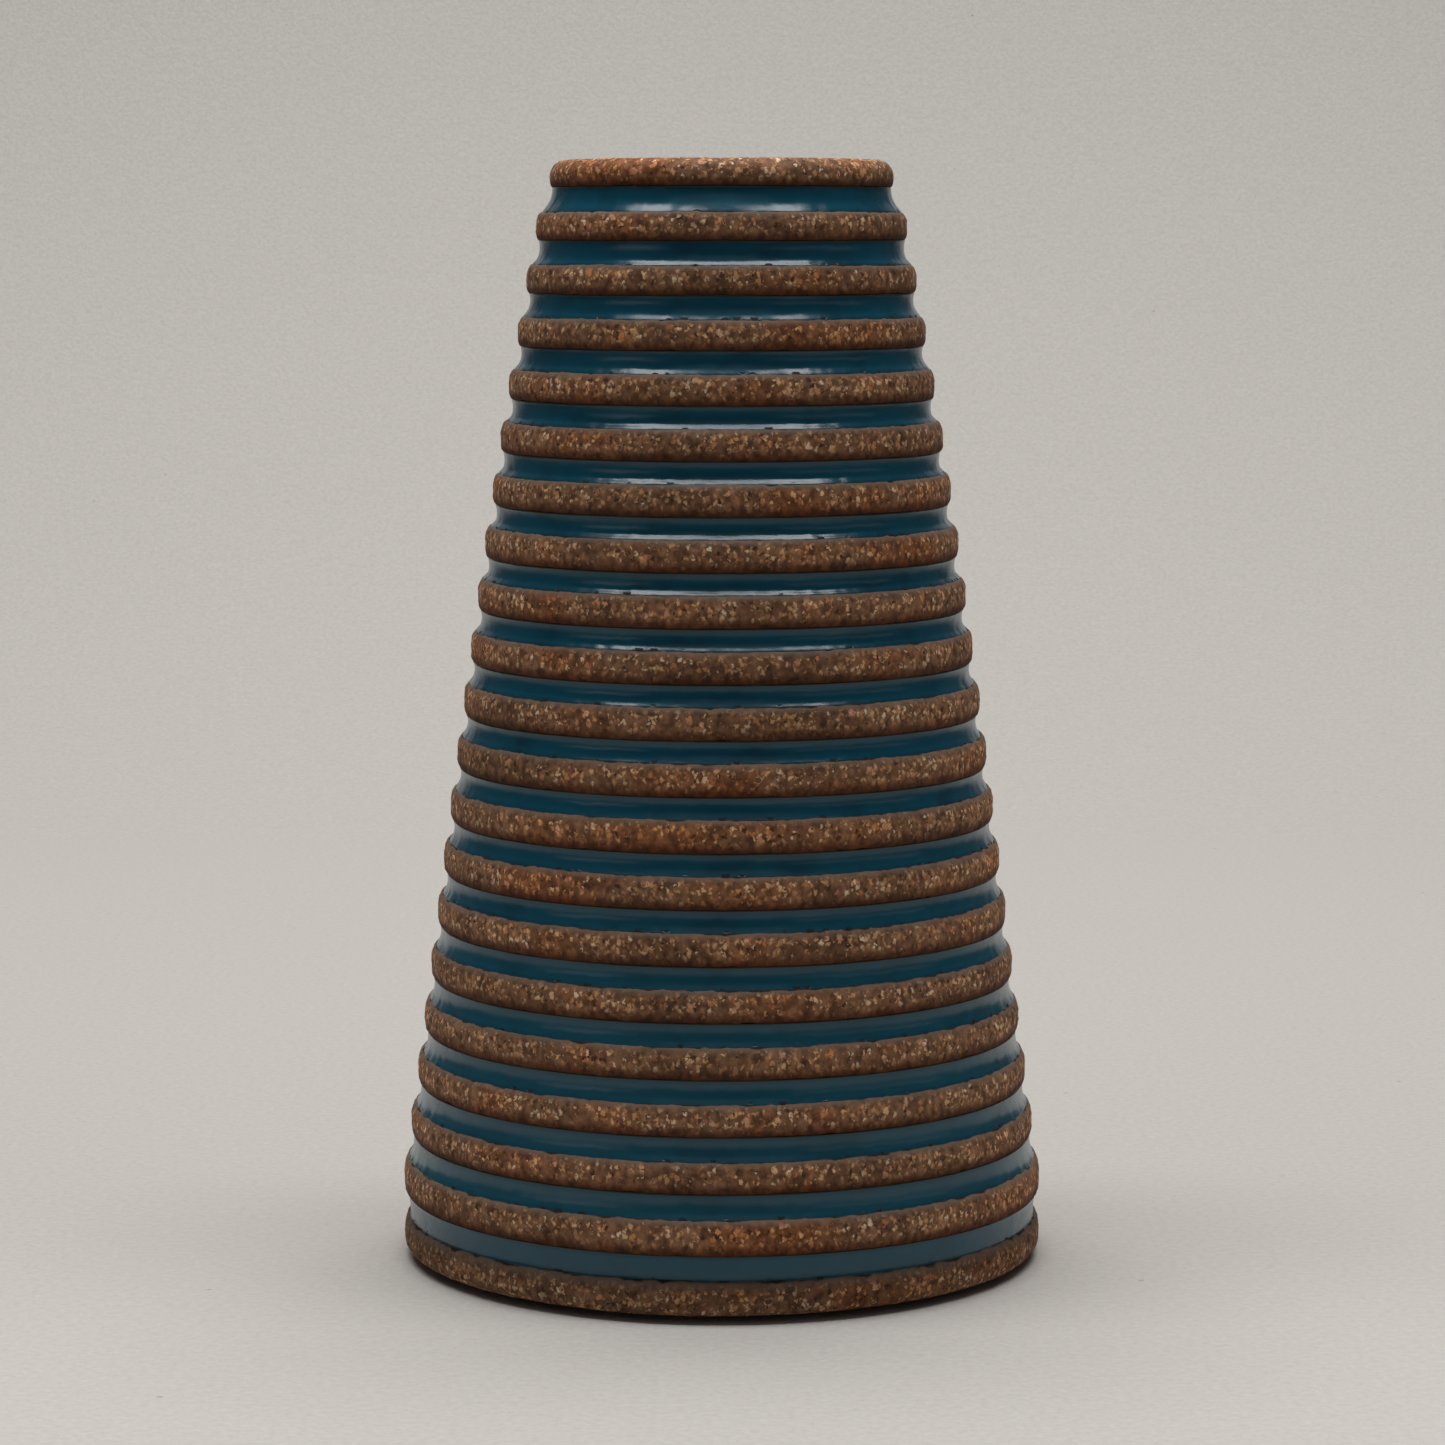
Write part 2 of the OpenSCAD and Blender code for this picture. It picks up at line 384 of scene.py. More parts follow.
# %% [markdown]
# ## Glaze in the grooves
#
# Molten glaze sinks to the middle of a groove and climbs its sides, so its face is hollow, flattest near
# the rib above and flaring out over the shoulder below, where it ends in a soft bead. The bead stands a
# little short of where the part's ring ends, since the last of the glaze there is a skin too thin to see.
# Its edges creep a little up and down. The depth of glaze is kept on each point, because thin glaze shows
# the brown clay and deep glaze is dark teal.

# %% Measures of the glaze
BEAD = 0.05 * MM  # thickness where it ends on the shoulder below
SKIN = 0.03 * MM  # thickness where it wets the rib above
SUNK = 0.3 * MM  # how far a ring's back is sunk in the clay behind it
BACK_EDGE = 0.25 * MM  # how far that back reaches above and below the groove
SHORT_OF_RING = 15  # degrees further up the shoulder than where the part's ring ends
WET = 75  # degrees round the lower edge of the rib above, where it starts
GLAZE_SPACING = 0.4 * MM  # from point to point round a ring
POOL_RUN = 0.9 * MM  # from an edge of the glaze in to its full depth
THIN_RUN = 0.75 * MM  # from the lower edge in to where the clay's grit stops showing
HIDDEN_ROWS = 3  # the two rows behind, and the end of the bead, which is sunk in the clay
BEAD_STEPS = ((2.0, 0.02), (4.0, -0.04), (6.5, -0.16))  # degrees down the shoulder, mm proud of it
# These three are set at a few rings, counted from 1 under the rim, and interpolated between.
# Depth of the hollow, in mm, below the mean of the two rib faces:
HOLLOW = ([1, 8, 20], [1.2, 1.15, 0.9])
# Lean of the lower slope from upright, in degrees, larger where each rib steps out further:
LEAN = ([1, 2, 3, 4, 5, 8, 9, 10, 12, 20], [38.0, 43.5, 38.2, 40.0, 45.5, 46.0, 41.5, 38.5, 36.0, 35.0])
# Share of that slope that is a nearly straight run, longest on the middle rings:
STRAIGHT = ([1, 3, 5, 8, 10, 12], [0.4, 0.4, 0.6, 0.6, 0.35, 0.1])


# %% Shape one ring of glaze
def bezier(p0, p1, p2, p3, t):
    """A cubic curve from p0 to p3 pulled towards p1 and p2, for every column at once."""
    t = t[:, None, None]
    return p0 * (1 - t) ** 3 + 3 * p1 * t * (1 - t) ** 2 + 3 * p2 * t**2 * (1 - t) + p3 * t**3


def on_shoulder(r, top, angle_up, proud):
    """A point `proud` of the rounded shoulder of a rib of radius r, at an angle up from level."""
    return np.stack([r - SHOULDER + (SHOULDER + proud) * np.cos(angle_up),
                     top - SHOULDER_TALL + (SHOULDER_TALL + proud) * np.sin(angle_up)], -1)


def glaze_ring(i):
    """The outline of ring i at every column: down its back, then from the bead on the shoulder below up
    the hollow face to the rib above. creep, sag, climb and fray are slow and quick waverings round it."""
    r_up, r_down = rib_radius[i], rib_radius[i + 1]
    z_up, z_down = rib_low[i], rib_top[i + 1]
    middle = (r_up + r_down) / 2
    width = z_up - z_down
    columns = int(2 * np.pi * middle / GLAZE_SPACING)
    angle = 2 * np.pi * np.arange(columns) / columns
    track = np.stack([middle * np.cos(angle), middle * np.sin(angle), np.full(columns, z_up)], -1)
    creep = hills(track, 9 * MM, 51) * 0.6 + hills(track, 2.6 * MM, 52) * 0.45
    sag = hills(track, 14 * MM, 53) * 0.6 + hills(track, 5 * MM, 54) * 0.3
    climb = hills(track, 7 * MM, 55) * 0.5 + hills(track, 2.2 * MM, 56) * 0.4
    fray = hills(track, 1.3 * MM, 57)
    wet = np.radians(WET - 9 * climb)
    start = np.stack([r_up - UNDER_EDGE + (UNDER_EDGE + SKIN) * np.cos(wet),
                      z_up + UNDER_TALL - (UNDER_TALL + SKIN) * np.sin(wet)], -1)
    stop = GLAZE_STOP + np.radians(SHORT_OF_RING + 5 * creep + 4 * fray)
    end = on_shoulder(r_down, z_down, stop, BEAD)
    hollow = middle - np.interp(i + 1, *HOLLOW) * MM + 0.1 * MM * sag
    lean = np.radians(np.interp(i + 1, *LEAN) + 2.2 * creep + 1.6 * fray)
    pull_up = np.stack([hollow, np.full(columns, z_up - 0.24 * width)], -1)
    pull_down = np.stack([hollow, end[:, 1] + (end[:, 0] - hollow) / np.tan(lean)], -1)
    knee = end + (pull_down - end) * np.interp(i + 1, *STRAIGHT)
    face = bezier(start, pull_up, pull_down, knee, np.linspace(0, 1, 13))
    straight_run = np.stack([(knee + end) / 2, end])
    bead = np.stack([on_shoulder(r_down, z_down, stop - np.radians(down), proud * MM)
                     for down, proud in BEAD_STEPS])
    behind = middle - GROOVE_DEPTH - SUNK
    back = np.array([[[behind, z_down - BACK_EDGE]], [[behind, z_up + BACK_EDGE]]])
    back = np.repeat(back, columns, axis=1)
    return np.concatenate([face, straight_run, bead, back])[::-1]


# %% Build the glaze rings
for i, name in enumerate(band_names):
    grid = glaze_ring(i)
    points = in_space(grid)
    ripple = 0.015 * MM * hills(points, 1.5 * MM, 61) + 0.02 * MM * hills(points, 4 * MM, 62)
    ripple[:HIDDEN_ROWS] = 0
    grid = grid + outward(grid) * ripple[..., None]
    # run is the way along the face from its lower end, and the depth of glaze grows with it.
    steps = np.linalg.norm(np.diff(grid, axis=0, prepend=grid[:1]), axis=-1)
    steps[:HIDDEN_ROWS] = 0
    run = np.cumsum(steps, axis=0)
    labels = {"pool": np.clip(np.minimum(run, run[-1] - run) / POOL_RUN, 0, 1),
              "low_edge": np.clip(1 - run / THIN_RUN, 0, 1)}
    turn(name + "_glass", grid, grid.shape[1], "teal_glaze", [name], labels)
print("with the glaze rings:", len(made), "pieces")

# %% [markdown]
# ## The coat inside
#
# The inside is glazed so that the vase holds water. The glaze is poured in, swirled and poured out,
# so the coat is thin, follows the throwing rings and ends in an uneven line below the lip.

# %% Build the liner
COAT = 0.5 * MM
FLOOR = 7.6 * MM
FLOOR_ROUND = 8 * MM
LINER_DROP = 2.4 * MM  # from the top of the rim down to the coat's edge
NEAR_LIP = 6 * MM  # how far down from that edge its wavering fades out
THROWING_STEP = 7.5 * MM  # from one throwing ring to the next
columns = 320
floor_corner = face_radius(FLOOR + FLOOR_ROUND) - WALL
coat_edge = clay_high.z - LINER_DROP
wall_rows = np.linspace(FLOOR + FLOOR_ROUND, coat_edge, 44)
under = np.concatenate([
    line([AXIS_GAP, FLOOR], [floor_corner - FLOOR_ROUND, FLOOR], 16),
    arc(floor_corner - FLOOR_ROUND, FLOOR + FLOOR_ROUND, FLOOR_ROUND, -90, -5, 10),
    np.stack([face_radius(wall_rows) - WALL, wall_rows], -1),
])
normal_in = outward(under[:, None, :], closed=False)[:, 0]
throwing = 0.18 * MM * np.sin(2 * np.pi * under[:, 1] / THROWING_STEP)
inner = under - normal_in * (COAT + np.where(under[:, 1] > 2 * FLOOR, throwing, 0))[:, None]
outline = np.concatenate([under + normal_in * 0.05 * MM, inner[::-1]])
grid = np.repeat(outline[:, None, :], columns, axis=1)
angle = 2 * np.pi * np.arange(columns) / columns
track = np.stack([np.cos(angle), np.sin(angle), np.zeros(columns)], -1) * 17 * MM
drop = 0.35 * MM * hills(track, 9 * MM, 71) + 0.15 * MM * hills(track, 3 * MM, 72)
near_lip = np.clip((grid[..., 1] - (coat_edge - NEAR_LIP)) / NEAR_LIP, 0, 1)
grid[..., 1] += near_lip * drop
wave = 0.05 * MM * hills(in_space(grid), 8 * MM, 73)
grid = grid + outward(grid, closed=False) * wave[..., None]
depth = np.clip((coat_edge + drop - grid[..., 1]) / (1.6 * MM), 0, 1)
labels = {"pool": depth, "low_edge": np.zeros_like(depth)}
turn("liner_glaze_coat", grid, columns, "liner_glaze", ["liner_glaze"], labels, poles=True)
print("all:", len(made), "pieces,", sum(made.values()), "triangles, largest", max(made.values()))

# %% [markdown]
# ## Materials
#
# Colours are written as sRGB hex, the way a colour card gives them, and turned to the linear values that
# the renderer works in. One small function adds a node with its settings and links.

# %% Colour and node helpers
def linear(code):
    """Linear red, green, blue and 1 for an sRGB hex colour: ((c + 0.055) / 1.055) ^ 2.4, or c / 12.92
    where c is under 0.04045."""
    c = np.array([int(code[k : k + 2], 16) for k in (1, 3, 5)]) / 255
    return tuple(np.where(c < 0.04045, c / 12.92, ((c + 0.055) / 1.055) ** 2.4)) + (1.0,)


def add(tree, kind, settings=None, inputs=None, stops=None):
    """Adds one node: its own settings, then each input as a value or as another node's output, and the
    stops of a colour ramp as pairs of place and hex colour."""
    node = tree.nodes.new(kind)
    for key, value in (settings or {}).items():
        setattr(node, key, value)
    for key, value in (inputs or {}).items():
        if isinstance(value, bpy.types.NodeSocket):
            tree.links.new(value, node.inputs[key])
        else:
            node.inputs[key].default_value = value
    if stops:
        ramp = node.color_ramp.elements
        while len(ramp) < len(stops):
            ramp.new(0.5)
        for element, (place, code) in zip(ramp, stops):
            element.position = place
            element.color = linear(code)
    return node


def new_material(name, preview):
    """An empty node material, its shader and its output, with a plain colour for the viewport."""
    material = bpy.data.materials.new(name)
    material.use_nodes = True
    material.diffuse_color = linear(preview)
    tree = material.node_tree
    tree.nodes.clear()
    shader = add(tree, "ShaderNodeBsdfPrincipled")
    output = add(tree, "ShaderNodeOutputMaterial")
    tree.links.new(shader.outputs["BSDF"], output.inputs["Surface"])
    return material, tree, shader


# %% [markdown]
# ## Bare grogged stoneware
#
# Iron-bearing stoneware fired unglazed: a matt brown body full of grog. The turning tool tears the face
# between the grains, so it looks like crumbled biscuit: tan granules, a few whole grains of tan and
# pinkish grog, and small pits, painted dark brown as the shade in them. Both are cells of Voronoi noise,
# each with its own tone by chance, looked up at a shaken place so that none is round or straight-edged.
# Along a rib's lower edge the tool has smeared fine clay over the grog, so it is smoother there, and that
# edge is painted darker and redder as shade where it curves under. At the upper edge the glaze's vapour
# leaves a thin greyish film, and on the lower ribs a broken dark line just under the glaze is painted
# shadow of the glaze's edge.

# %% Start the stoneware: where a point is, and how clear its grog
stoneware, tree, shader = new_material("bare grogged stoneware", "#7a5a44")
place = add(tree, "ShaderNodeTexCoord").outputs["Object"]
# Object coordinates are metres; a scale of 1000 makes every size below a size in millimetres. Upwards it
# is 900, which draws the grains a little taller, as the kiln and the tool leave them on an upright face.
in_mm = add(tree, "ShaderNodeMapping",
            inputs={"Vector": place, "Scale": (1000, 1000, 900)}).outputs["Vector"]
shake_noise = add(tree, "ShaderNodeTexNoise", inputs={"Vector": in_mm, "Scale": 1.9, "Detail": 4.0})
centred = add(tree, "ShaderNodeVectorMath", {"operation": "SUBTRACT"},
              {0: shake_noise.outputs["Color"], 1: (0.5, 0.5, 0.5)}).outputs["Vector"]
shaken = add(tree, "ShaderNodeVectorMath", {"operation": "MULTIPLY_ADD"},
             {0: centred, 1: (1.2, 1.2, 1.2), 2: in_mm}).outputs["Vector"]
across = add(tree, "ShaderNodeAttribute", {"attribute_name": "across"}).outputs["Fac"]
# How clear the grog is, from the smeared lower edge of a rib to the filmed upper one.
clear = add(tree, "ShaderNodeValToRGB", inputs={"Fac": across},
            stops=[(0.02, "#303030"), (0.24, "#b4b4b4"), (0.42, "#ffffff"),
                   (0.80, "#ffffff"), (0.97, "#606060")]).outputs["Color"]

# %% Fine clay and torn crumb
smooth_noise = add(tree, "ShaderNodeTexNoise",
                   inputs={"Vector": in_mm, "Scale": 0.9, "Detail": 4.0}).outputs["Fac"]
colour = add(tree, "ShaderNodeValToRGB", inputs={"Fac": smooth_noise},
             stops=[(0.34, "#614431"), (0.5, "#825d43"), (0.66, "#9e7557")]).outputs["Color"]
# The torn face breaks into granules about half a millimetre across. The share of pale ones drifts, so
# some stretches of a rib are almost smooth.
crumb = add(tree, "ShaderNodeTexVoronoi", inputs={"Vector": shaken, "Scale": 1.45})
tone = add(tree, "ShaderNodeSeparateColor", inputs={"Color": crumb.outputs["Color"]})
clumps = add(tree, "ShaderNodeTexNoise",
             inputs={"Vector": in_mm, "Scale": 0.25, "Detail": 3.0}).outputs["Fac"]
drift = add(tree, "ShaderNodeMath", {"operation": "MULTIPLY_ADD"},
            {0: clumps, 1: 2.0, 2: -1.0}).outputs[0]
level = add(tree, "ShaderNodeMath", {"operation": "ADD"}, {0: drift, 1: tone.outputs["Red"]}).outputs[0]
fleck = add(tree, "ShaderNodeMapRange",
            inputs={"Value": level, "From Min": 0.36, "From Max": 0.52}).outputs[0]
rounded = add(tree, "ShaderNodeMapRange",
              inputs={"Value": crumb.outputs["Distance"], "From Min": 0.62, "From Max": 0.30}).outputs[0]
fleck = add(tree, "ShaderNodeMath", {"operation": "MULTIPLY"}, {0: fleck, 1: rounded}).outputs[0]
fleck = add(tree, "ShaderNodeMath", {"operation": "MULTIPLY"}, {0: fleck, 1: clear}).outputs[0]
fleck_colour = add(tree, "ShaderNodeValToRGB", inputs={"Fac": tone.outputs["Green"]},
                   stops=[(0.0, "#ae7b5d"), (0.3, "#c98f62"), (0.6, "#dba673"),
                          (0.85, "#edc092"), (1.0, "#fbe0bd")])
colour = add(tree, "ShaderNodeMix", {"data_type": "RGBA"},
             {0: fleck, 6: colour, 7: fleck_colour.outputs["Color"]}).outputs[2]
# Small torn pits: the dark brown put in them is painted shade.
low_tone = add(tree, "ShaderNodeMath", {"operation": "LESS_THAN"},
               {0: tone.outputs["Blue"], 1: 0.11}).outputs[0]
shaded_pit = add(tree, "ShaderNodeMath", {"operation": "MULTIPLY"}, {0: rounded, 1: low_tone}).outputs[0]
shaded_pit = add(tree, "ShaderNodeMath", {"operation": "MULTIPLY"}, {0: shaded_pit, 1: clear}).outputs[0]
colour = add(tree, "ShaderNodeMix", {"data_type": "RGBA"},
             {0: shaded_pit, 6: colour, 7: linear("#503626")}).outputs[2]

# %% Whole grains of grog, and small pits painted dark as shade
layers = [
    # size in mm, share of cells with a grain, its edge in cells, and its colours from chance
    (1.5, 0.34, 0.38, [(0.0, "#ecb88c"), (0.4, "#e0a68a"), (0.7, "#e29a5e"), (1.0, "#fbd6aa")]),
    (0.8, 0.36, 0.42, [(0.0, "#ecb284"), (0.5, "#fccc9a"), (1.0, "#ffeccc")]),
    # The third layer is small pits, sunk in the bump below; its dark colours are painted shade in them.
    (1.5, 0.16, 0.32, [(0.0, "#2a1e17"), (0.6, "#402e24"), (1.0, "#5c4030")]),
]
heights = []
for size, share, edge, stops in layers:
    cells = add(tree, "ShaderNodeTexVoronoi", inputs={"Vector": shaken, "Scale": 1 / size})
    chance = add(tree, "ShaderNodeSeparateColor", inputs={"Color": cells.outputs["Color"]})
    present = add(tree, "ShaderNodeMath", {"operation": "LESS_THAN"},
                  {0: chance.outputs["Red"], 1: share}).outputs[0]
    # A grain's radius also varies by chance, and its edge is soft over a fourteenth of a cell.
    reach = add(tree, "ShaderNodeMapRange",
                inputs={"Value": chance.outputs["Blue"], "To Min": 0.45 * edge,
                        "To Max": edge}).outputs[0]
    gap = add(tree, "ShaderNodeMath", {"operation": "SUBTRACT"},
              {0: reach, 1: cells.outputs["Distance"]}).outputs[0]
    cover = add(tree, "ShaderNodeMapRange",
                inputs={"Value": gap, "From Min": 0.0, "From Max": 0.07}).outputs[0]
    grain = add(tree, "ShaderNodeMath", {"operation": "MULTIPLY"}, {0: cover, 1: present}).outputs[0]
    grain = add(tree, "ShaderNodeMath", {"operation": "MULTIPLY"}, {0: grain, 1: clear}).outputs[0]
    grain = add(tree, "ShaderNodeMath", {"operation": "MULTIPLY"}, {0: grain, 1: 0.85}).outputs[0]
    grain_colour = add(tree, "ShaderNodeValToRGB", inputs={"Fac": chance.outputs["Green"]}, stops=stops)
    colour = add(tree, "ShaderNodeMix", {"data_type": "RGBA"},
                 {0: grain, 6: colour, 7: grain_colour.outputs["Color"]}).outputs[2]
    heights.append(grain)

# %% Fire marks, painted shade along the ribs' edges, filmed upper edges, a painted shadow line and a darker foot
# The kiln leaves slow patches about 15 mm across, some greyer and some warmer.
patches = add(tree, "ShaderNodeTexNoise",
              inputs={"Vector": in_mm, "Scale": 0.07, "Detail": 2.0}).outputs["Fac"]
patch_colour = add(tree, "ShaderNodeValToRGB", inputs={"Fac": patches},
                   stops=[(0.35, "#dcd8d4"), (0.50, "#ffffff"), (0.66, "#ffe6cf")]).outputs["Color"]
colour = add(tree, "ShaderNodeMix", {"data_type": "RGBA", "blend_type": "MULTIPLY"},
             {0: 1.0, 6: colour, 7: patch_colour}).outputs[2]
# Painted shade: a rib is drawn darker and redder along its lower edge, where it curves under, and a little
# darker at its upper edge.
painted_edge_shade = add(tree, "ShaderNodeValToRGB", inputs={"Fac": across},
                stops=[(0.0, "#7f6655"), (0.14, "#b8a090"), (0.36, "#ffffff"),
                       (0.70, "#ffffff"), (0.95, "#cac6c2")])
colour = add(tree, "ShaderNodeMix", {"data_type": "RGBA", "blend_type": "MULTIPLY"},
             {0: 1.0, 6: colour, 7: painted_edge_shade.outputs["Color"]}).outputs[2]
# The upper edge is filmed by the glaze's vapour, so it is greyer.
film = add(tree, "ShaderNodeMapRange",
           inputs={"Value": across, "From Min": 0.80, "From Max": 0.97, "To Max": 0.65}).outputs[0]
colour = add(tree, "ShaderNodeMix", {"data_type": "RGBA"},
             {0: film, 6: colour, 7: linear("#7d6d60")}).outputs[2]
# Just under the glaze's lower edge, on the lower ribs only, a thin broken dark line is painted shadow of
# the glaze's edge.
height = add(tree, "ShaderNodeSeparateXYZ", inputs={"Vector": place}).outputs["Z"]
low_ribs = add(tree, "ShaderNodeMapRange",
               inputs={"Value": height, "From Min": 0.100, "From Max": 0.080}).outputs[0]
line_noise = add(tree, "ShaderNodeTexNoise",
                 inputs={"Vector": in_mm, "Scale": 0.35, "Detail": 3.0}).outputs["Fac"]
line_start = add(tree, "ShaderNodeMath", {"operation": "MULTIPLY_ADD"},
                 {0: line_noise, 1: -0.22, 2: 1.08}).outputs[0]
line_depth = add(tree, "ShaderNodeMath", {"operation": "SUBTRACT"}, {0: across, 1: line_start}).outputs[0]
bead_shadow_line = add(tree, "ShaderNodeMapRange",
                inputs={"Value": line_depth, "From Min": 0.0, "From Max": 0.03}).outputs[0]
bead_shadow_line = add(tree, "ShaderNodeMath", {"operation": "MULTIPLY"}, {0: bead_shadow_line, 1: low_ribs}).outputs[0]
colour = add(tree, "ShaderNodeMix", {"data_type": "RGBA"},
             {0: bead_shadow_line, 6: colour, 7: linear("#241a15")}).outputs[2]
# The foot is drawn darker: below 7.5 mm the colour falls to 0.7 of itself at 5.5 mm.
darker_foot = add(tree, "ShaderNodeMapRange",
            inputs={"Value": height, "From Min": 0.0055, "From Max": 0.0075,
                    "To Min": 0.70, "To Max": 1.0}).outputs[0]
colour = add(tree, "ShaderNodeVectorMath", {"operation": "SCALE"},
             {0: colour, 3: darker_foot}).outputs["Vector"]

# %% Grain relief too fine for the mesh, and the dull shine
raised = add(tree, "ShaderNodeMath", {"operation": "ADD"}, {0: heights[0], 1: heights[1]}).outputs[0]
raised = add(tree, "ShaderNodeMath", {"operation": "SUBTRACT"}, {0: raised, 1: heights[2]}).outputs[0]
torn = add(tree, "ShaderNodeMath", {"operation": "SUBTRACT"}, {0: fleck, 1: shaded_pit}).outputs[0]
surface = add(tree, "ShaderNodeMath", {"operation": "MULTIPLY_ADD"},
              {0: torn, 1: 0.7, 2: raised}).outputs[0]
bump = add(tree, "ShaderNodeBump", inputs={"Height": surface, "Strength": 0.9, "Distance": 0.09 * MM})
roughness = add(tree, "ShaderNodeMapRange",
                inputs={"Value": raised, "To Min": 0.82, "To Max": 0.66}).outputs[0]
tree.links.new(colour, shader.inputs["Base Color"])
tree.links.new(roughness, shader.inputs["Roughness"])
tree.links.new(bump.outputs["Normal"], shader.inputs["Normal"])
shader.inputs["IOR"].default_value = 1.45
shader.inputs["Specular IOR Level"].default_value = 0.3

# %% [markdown]
# ## Glossy teal glaze
#
# A clear glassy glaze coloured with a little cobalt and copper. Deep in the groove it swallows most light
# and looks almost black-blue, thinner glaze is teal, and where it thins out at an edge the brown clay
# shows through. On the lowest rings the deeper glaze is drawn paler, towards a blue-grey. Its skin is
# smooth as glass, IOR about 1.5, with slow ripples, and gas from the clay has left small pinholes along
# the lower edge, painted near black as the shade in them.

# %% Make the two glazes
def make_glaze(name, deep, body, thin, edge_clay):
    """A glaze whose colour runs from bare edge to thin, body and deep with the `pool` attribute."""
    material, tree, shader = new_material(name, body)
    place = add(tree, "ShaderNodeTexCoord").outputs["Object"]
    in_mm = add(tree, "ShaderNodeMapping",
                inputs={"Vector": place, "Scale": (1000, 1000, 1000)}).outputs["Vector"]
    pool = add(tree, "ShaderNodeAttribute", {"attribute_name": "pool"}).outputs["Fac"]
    low_edge = add(tree, "ShaderNodeAttribute", {"attribute_name": "low_edge"}).outputs["Fac"]
    uneven = add(tree, "ShaderNodeTexNoise",
                 inputs={"Vector": in_mm, "Scale": 0.55, "Detail": 4.0}).outputs["Fac"]
    shift = add(tree, "ShaderNodeMath", {"operation": "SUBTRACT"}, {0: uneven, 1: 0.5}).outputs[0]
    depth = add(tree, "ShaderNodeMath", {"operation": "MULTIPLY_ADD"},
                {0: shift, 1: 0.28, 2: pool}).outputs[0]
    colour = add(tree, "ShaderNodeValToRGB", inputs={"Fac": depth},
                 stops=[(0.02, edge_clay), (0.12, thin), (0.34, body), (0.95, deep)]).outputs["Color"]
    cloud = add(tree, "ShaderNodeTexNoise",
                inputs={"Vector": in_mm, "Scale": 0.12, "Detail": 3.0}).outputs["Fac"]
    tone = add(tree, "ShaderNodeValToRGB", inputs={"Fac": cloud},
               stops=[(0.3, "#d2dbe0"), (0.5, "#ffffff"), (0.7, "#e9fbff")]).outputs["Color"]
    colour = add(tree, "ShaderNodeMix", {"data_type": "RGBA", "blend_type": "MULTIPLY"},
                 {0: 1.0, 6: colour, 7: tone}).outputs[2]
    # On the lowest rings the deeper glaze is drawn paler, towards a blue-grey.
    height = add(tree, "ShaderNodeSeparateXYZ", inputs={"Vector": in_mm}).outputs["Z"]
    low_rings = add(tree, "ShaderNodeMapRange",
                    inputs={"Value": height, "From Min": 75.0, "From Max": 15.0,
                            "To Max": 0.42}).outputs[0]
    low_ring_grey = add(tree, "ShaderNodeMath", {"operation": "MULTIPLY"}, {0: low_rings, 1: pool}).outputs[0]
    colour = add(tree, "ShaderNodeMix", {"data_type": "RGBA"},
                 {0: low_ring_grey, 6: colour, 7: linear("#2a5563")}).outputs[2]
    # Pinholes about a millimetre across, only where the glaze thins out at its lower edge. The near black
    # put in them is painted shade.
    holes = add(tree, "ShaderNodeTexVoronoi", inputs={"Vector": in_mm, "Scale": 0.55})
    chance = add(tree, "ShaderNodeSeparateColor", inputs={"Color": holes.outputs["Color"]}).outputs["Red"]
    rare = add(tree, "ShaderNodeMath", {"operation": "LESS_THAN"}, {0: chance, 1: 0.5}).outputs[0]
    near = add(tree, "ShaderNodeMapRange",
               inputs={"Value": holes.outputs["Distance"], "From Min": 0.27, "From Max": 0.35,
                       "To Min": 1.0, "To Max": 0.0}).outputs[0]
    shaded_pinhole = add(tree, "ShaderNodeMath", {"operation": "MULTIPLY"}, {0: rare, 1: near}).outputs[0]
    at_edge = add(tree, "ShaderNodeMapRange",
                  inputs={"Value": low_edge, "From Min": 0.2, "From Max": 0.5}).outputs[0]
    shaded_pinhole = add(tree, "ShaderNodeMath", {"operation": "MULTIPLY"}, {0: shaded_pinhole, 1: at_edge}).outputs[0]
    colour = add(tree, "ShaderNodeMix", {"data_type": "RGBA"},
                 {0: shaded_pinhole, 6: colour, 7: linear("#0c0907")}).outputs[2]
    skin = add(tree, "ShaderNodeTexNoise",
               inputs={"Vector": in_mm, "Scale": 0.7, "Detail": 3.0}).outputs["Fac"]
    gloss = add(tree, "ShaderNodeMapRange",
                inputs={"Value": skin, "To Min": 0.17, "To Max": 0.27}).outputs[0]
    roughness = add(tree, "ShaderNodeMath", {"operation": "MULTIPLY_ADD"},
                    {0: shaded_pinhole, 1: 0.5, 2: gloss}).outputs[0]
    # The thin lower edge follows the clay's grit, so its shine is broken.
    grit = add(tree, "ShaderNodeTexNoise",
               inputs={"Vector": in_mm, "Scale": 1.1, "Detail": 2.0}).outputs["Fac"]
    grit = add(tree, "ShaderNodeMath", {"operation": "MULTIPLY"}, {0: grit, 1: low_edge}).outputs[0]
    sunk = add(tree, "ShaderNodeMath", {"operation": "MULTIPLY_ADD"},
               {0: grit, 1: 0.8, 2: skin}).outputs[0]
    sunk = add(tree, "ShaderNodeMath", {"operation": "MULTIPLY_ADD"},
               {0: shaded_pinhole, 1: -2.0, 2: sunk}).outputs[0]
    bump = add(tree, "ShaderNodeBump", inputs={"Height": sunk, "Strength": 0.5, "Distance": 0.05 * MM})
    tree.links.new(colour, shader.inputs["Base Color"])
    tree.links.new(roughness, shader.inputs["Roughness"])
    tree.links.new(bump.outputs["Normal"], shader.inputs["Normal"])
    shader.inputs["IOR"].default_value = 1.5
    shader.inputs["Specular IOR Level"].default_value = 0.40
    return material


